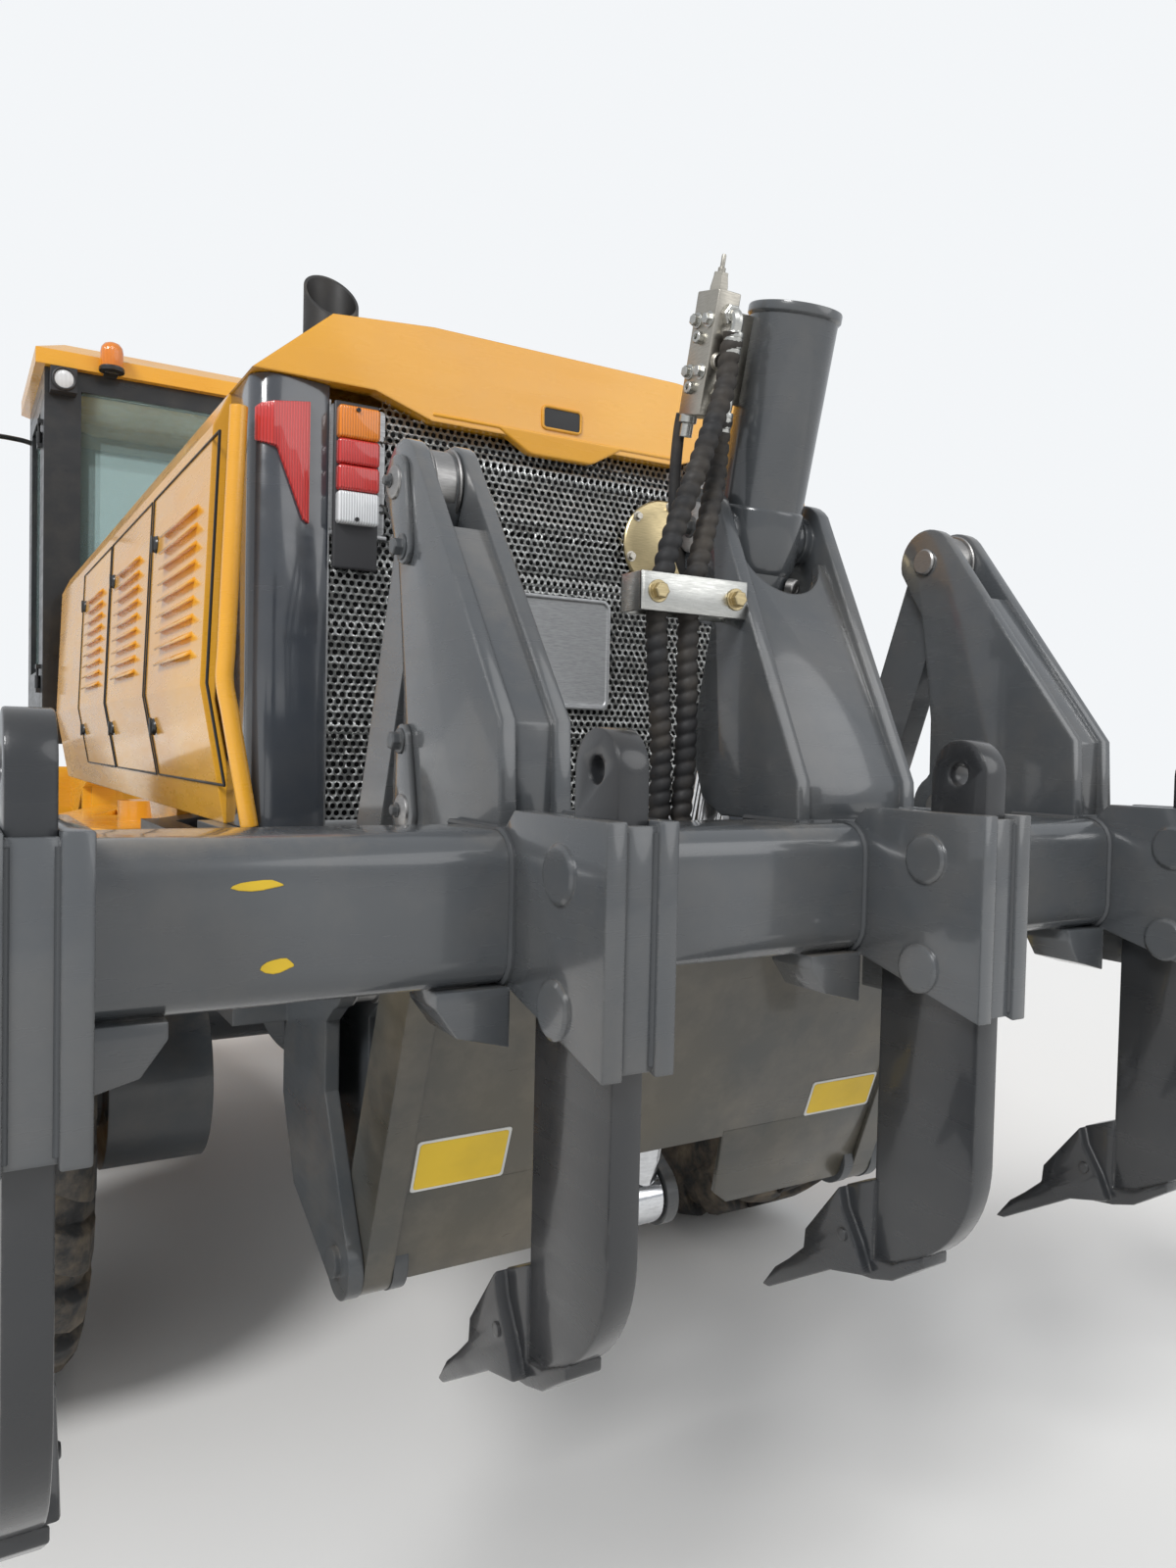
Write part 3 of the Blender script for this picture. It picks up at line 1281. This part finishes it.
def makeLug():
    stations = [-14, 20, 60, 100, 124, 150, 172, 188, 201, 210, 218]
    near, far = tyre["lugWidth"]
    ahead, behind = [], []
    for x in stations:
        width = near + (far - near) * max(x, 0) / 218
        along = tyre["sweep"] * x
        ahead.append((x, along - width / 2 + (10 if x < 0 else 0)))
        behind.append((x, along + width / 2 - (10 if x < 0 else 0)))
    lug = plate([Vector((x, s, 0)) / 1000 for x, s in ahead + behind[::-1]], Vector((0, 0, 0.001)), 0)
    slicedAt(lug, stations[1:-1])
    for v in lug.data.vertices:
        x, s, top = v.co.x * 1000, v.co.y * 1000, v.co.z > 0.0005
        radius = treadHeight(abs(x)) - (0 if top else tyre["rooted"])
        if not top:
            s += 7 if s < tyre["sweep"] * x else -7
            s += 14 if s > tyre["sweep"] * x else -14
        angle = s / tyre["radius"]
        v.co = Vector((x, radius * math.sin(angle), radius * math.cos(angle))) / 1000
    pickOnly(lug)
    editing()
    return softened(closed(lug), 4, 2, 50)


def makeTyre():
    half = [(0, 644), (118, 644), (158, 636), (190, 612), (208, 580), (214, 562), (219, 556), (219, 548),
            (216, 542), (221.5, 505), (221.5, 470), (217, 440), (213, 436), (213, 428), (206, 390),
            (196, 352), (198, 344), (192, 332), (178, 324), (160, 321)]
    profile = [(r, x) for x, r in half[::-1]] + [(r, -x) for x, r in half[1:]]
    carcass = turned(profile + [profile[0]], origin, (1, 0, 0), 96)
    parts = [carcass]
    lug = makeLug()
    for i in range(tyre["lugs"]):
        for side in (0, 1):
            angle = math.tau * (i + side * 0.5) / tyre["lugs"]
            one = copied(lug, origin)
            if side:
                put(one, Matrix.Diagonal((-1, 1, 1, 1)))
                one.data.flip_normals()
            parts.append(put(one, Matrix.Rotation(angle, 4, "X")))
    bpy.data.objects.remove(lug)
    return joined(*parts)


def makeTyres():
    master = makeTyre()
    for name, (x, y) in tyre["wheels"].items():
        twin = copied(master, origin)
        if x < 0:
            put(twin, Matrix.Rotation(math.pi, 4, "Z"))
            put(twin, Matrix.Rotation(math.pi, 4, "X"))
        put(twin, Matrix.Translation(spot(x, y, tyre["radius"])))
        piece = gathered("tyre" + inCapitals(name), [twin], "wheel_" + name, "tyreRubber", 40)
        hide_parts("tyre_" + name)
    bpy.data.objects.remove(master)


makeTyres()
print("tyres made")


# hood: seams round its doors, latches, louvres, and the lip's tongue with its grip
hoodLook = {
    "doors": ((-1560, -820), (-790, -60), (-30, 700)), "doorLow": 1440, "doorHigh": 2130,
    "louvres": 9, "louvreLow": 1720, "louvrePitch": 38,
    "foldAt": (1366, 1420, 1500, 1580, 1640, 1700, 1850, 2000, 2150),
}


def hoodSide(z):
    # how far out the side wall stands at a height
    return 660 + 50 * (z - 1360) / 280 if z < 1640 else 710 - 20 * (z - 1640) / 520


def makeHoodDetails():
    seams, latches, louvres = [], [], []
    for side in (-1, 1):
        for start, end in hoodLook["doors"]:
            low, high = hoodLook["doorLow"], hoodLook["doorHigh"]
            loop = [(start, low), (start, 1640), (start, high), (end, high), (end, 1640), (end, low),
                    (start, low)]
            seams.append(pipe([spot(side * (hoodSide(z) + 0.5), y, z) for y, z in loop], 3.2, 8, False))
            middle = (start + end) / 2
            for z in (1560, 2010):
                at = spot(side * hoodSide(z), end - 60, z)
                lock = turned([(0, 9), (16, 9), (20, 6), (22, 0), (0, 0)], at, (side, 0, 0), 28)
                grip = block(Vector((-0.006, -0.022, 0.008)), Vector((0.006, 0.022, 0.014)), 2)
                put(grip, Matrix.Translation(at) @ aimed((side, 0, 0)))
                latches += [lock, grip]
            for i in range(hoodLook["louvres"]):
                z = hoodLook["louvreLow"] + i * hoodLook["louvrePitch"]
                out = hoodSide(z)
                fin = [(out - 3, z), (out + 14, z - 14), (out + 14, z - 19), (out - 3, z - 12)]
                louvres.append(facingRear([(side * x, h) for x, h in fin], middle - 190, 380))
    gathered("hoodSeams", seams, "rear", "seamBlack", 60)
    gathered("hoodLatches", latches, "rear", "cabBlack")
    gathered("hoodLouvres", louvres, "rear", "yellowPaint")


def makeHoodTongue():
    outline = [(-300, 2196), (-150, 2196), (-137, 2188), (-84, 2158), (-70, 2154), (70, 2154), (84, 2158),
               (137, 2188), (150, 2196), (300, 2196), (300, 2204), (-300, 2204)]
    tongue = facingRear(outline, -1684, 24, 4, 3)
    rim = pipe([spot(x, -1682, z) for x, z in roundedOutline((-47, 2215), (47, 2262), 9, 4)]
               + [spot(47, -1682, 2253)], 3.5, 8, False)
    gathered("hoodTongue", [tongue, rim], "rear", "yellowPaint", 40)
    grip = facingRear(roundedOutline((-45, 2217), (45, 2260), 7, 4), -1682.4, 4, 0.6, 1)
    gathered("hoodGrip", [grip], "rear", "seamBlack")


def makeHoodFolds():
    # rounded folds down the hood's rear side edges
    folds = []
    for side in (-1, 1):
        line = [spot(side * (hoodSide(z) - 9), -1672, z) for z in hoodLook["foldAt"]]
        folds.append(pipe(line, 17, 20))
    gathered("hoodFolds", folds, "rear", "yellowPaint", 60)


makeHoodDetails()
makeHoodFolds()
makeHoodTongue()
print("hood details made")


# exhaust: a stack cut on a slant towards the rear, with its clamp band and foot
stackPlace = (-210, -700)


def makeExhaust():
    at = spot(*stackPlace, 0)
    stack = turned([(68, 0.5), (76, 0.5), (76, 499.5), (68, 499.5), (68, 0.5)],
                   at + Vector((0, 0, 2.3743)), (0, 0, 1), 64)
    pickOnly(stack)
    editing()
    bpy.ops.mesh.bisect(plane_co=at + Vector((0, 0.076, 2.873)), plane_no=(0, -1, 0.9),
                        clear_outer=True, use_fill=True)
    closed(stack)
    plug = turned([(0, 0), (67.5, 0), (67.5, 4), (0, 4)], at + Vector((0, 0, 2.52)), (0, 0, 1), 48)
    band = turned([(76, 0), (80, 1), (81, 4), (81, 36), (80, 39), (76, 40)],
                  at + Vector((0, 0, 2.43)), (0, 0, 1), 48)
    foot = turned([(76, 0), (108, 0), (112, 3), (112, 10), (106, 14), (84, 18), (80, 30), (76, 30)],
                  at + Vector((0, 0, 2.372)), (0, 0, 1), 48)
    x, y = stackPlace
    screws = [copied(bolt, spot(x + 98 * math.cos(a), y + 98 * math.sin(a), 2382), (0, 0, 1), 0.6)
              for a in (0.6, 1.9, 3.2, 4.5, 5.8)]
    piece = gathered("exhaustStack", [stack, plug, band, foot], "rear", "stackBlack")
    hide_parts("exhaust_stack")
    gathered("exhaustScrews", screws, "rear", "zinc")


makeExhaust()
print("exhaust made")


# dark corner pillars beside the grille, rounded in plan
def makePillars():
    parts = []
    for side in (-1, 1):
        plan = ([(505.3, -1611), (505.3, -1660), (530, -1666), (560, -1671), (590, -1674.5), (610, -1675)]
                + arcPoints((610, -1629), 46, -80, 0, 10) + [(656, -1491.3), (620, -1491.3), (610, -1611)])
        parts.append(plate([spot(side * x, y, 1361) for x, y in plan], Vector((0, 0, 0.864)), 2.5, 2))
    piece = gathered("cornerPillars", parts, "rear", "pillarPaint", 40)
    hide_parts("corner_pillars")


# cab: beacon, work lamp lenses, mirrors and the seat's cushions
cab = {"rear": 1885, "half": 745, "top": 3230}


def makeCabLamps():
    rims, lenses = [], []
    for side in (-1, 1):
        at = spot(side * (cab["half"] - 75), cab["rear"] - 70, cab["top"] - 65)
        rims.append(turned([(42, 0), (50, 0), (52, 3), (52, 12), (47, 16), (42, 12), (42, 0)],
                           at, (0, -1, 0), 40))
        lenses.append(turned([(0, 2), (41, 2), (41, 8), (30, 12), (15, 14), (0, 14.5)], at, (0, -1, 0), 40))
    gathered("workLampRims", rims, "front", "lampHousing")
    gathered("workLampLenses", lenses, "front", "clearLens")
    base = spot(-470, cab["rear"] - 78, cab["top"] + 1)
    dome = turned([(0, 0), (48, 0), (50, 6), (50, 70), (46, 92), (34, 108), (16, 116), (0, 118)],
                  base + Vector((0, 0, 0.020)), (0, 0, 1), 44)
    gathered("beaconDome", [dome], "front", "amberLens")
    foot = turned([(0, 0), (54, 0), (56, 3), (56, 18), (52, 22), (0, 22)], base, (0, 0, 1), 44)
    arm = block(spot(-500, cab["rear"] - 80, cab["top"] - 4),
                spot(-440, cab["rear"] + 4, cab["top"] + 7), 2)
    gathered("beaconFoot", [foot, arm], "front", "cabBlack")


mirrors = {
    "arm": ((735, 2700, 3060), (800, 2690, 3070), (930, 2650, 3060), (985, 2620, 3000), (990, 2610, 2900)),
    "armRadius": 13,
    "x": (900, 1080), "y": (2560, 2620), "z": (2610, 2925),
    "rim": (14, 18),          # of the glass, at its sides and at its ends
}


def makeMirrors():
    arms, heads, faces = [], [], []
    (y0, y1), (z0, z1), (across, along) = mirrors["y"], mirrors["z"], mirrors["rim"]
    for side in (-1, 1):
        arms.append(pipe([spot(side * x, y, z) for x, y, z in mirrors["arm"]], mirrors["armRadius"], 12))
        low, high = span(side, *mirrors["x"])
        heads.append(block(spot(low, y0, z0), spot(high, y1, z1), 18, 4))
        inner = roundedOutline((low + across, z0 + along), (high - across, z1 - along), 12, 4)
        faces.append(facingRear(inner, y0 - 0.5, 4, 1, 1))
    gathered("mirrorArms", arms, "front", "cabBlack", 50)
    gathered("mirrorHeads", heads, "front", "cabBlack")
    gathered("mirrorFaces", faces, "front", "mirrorGlass")


seat = {
    "base": ((-180, 2150, 1562), (180, 2490, 1801)),
    "cushion": ((-250, 2080, 1800), (250, 2540, 1910)),
    "back": ((-0.240, -0.070, 0.0), (0.240, 0.040, 0.620)),      # metres from its foot
    "backFoot": (0, 2150, 1890),
    "lean": 8,
    "rounding": 42,
}


def makeSeat():
    low, high = seat["back"]
    back = block(Vector(low), Vector(high), seat["rounding"], 5)
    put(back, Matrix.Translation(spot(*seat["backFoot"])) @ Matrix.Rotation(math.radians(seat["lean"]), 4, "X"))
    parts = [block(spot(*seat["base"][0]), spot(*seat["base"][1]), 20, 3),
             block(spot(*seat["cushion"][0]), spot(*seat["cushion"][1]), seat["rounding"], 5)]
    parts.append(back)
    for thing in parts[1:]:
        pickOnly(thing)
        smooth = thing.modifiers.new("soft", "SUBSURF")
        smooth.levels = 1
        applyModifiers(thing)
    piece = gathered("seatCushions", parts, "front", "seatFabric", 50)
    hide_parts("cab_seat")


# wheel nuts round each hub
wheelNuts = {"count": 12, "radius": 115, "face": 110}


def makeWheelNuts():
    count, radius = wheelNuts["count"], wheelNuts["radius"]
    for name, (x, y) in tyre["wheels"].items():
        side = 1 if x > 0 else -1
        nuts = [copied(bolt, spot(x + side * wheelNuts["face"], y + radius * math.cos(math.tau * i / count),
                                  tyre["radius"] + radius * math.sin(math.tau * i / count)),
                       (side, 0, 0), 1.0, i * 0.4)
                for i in range(count)]
        gathered("nuts" + inCapitals(name), nuts, "wheel_" + name, "zinc")


makePillars()
makeCabLamps()
makeMirrors()
makeSeat()
makeWheelNuts()
print("pillars, cab pieces and wheel nuts made")

for master in (bolt, socketScrew):
    bpy.data.objects.remove(master)
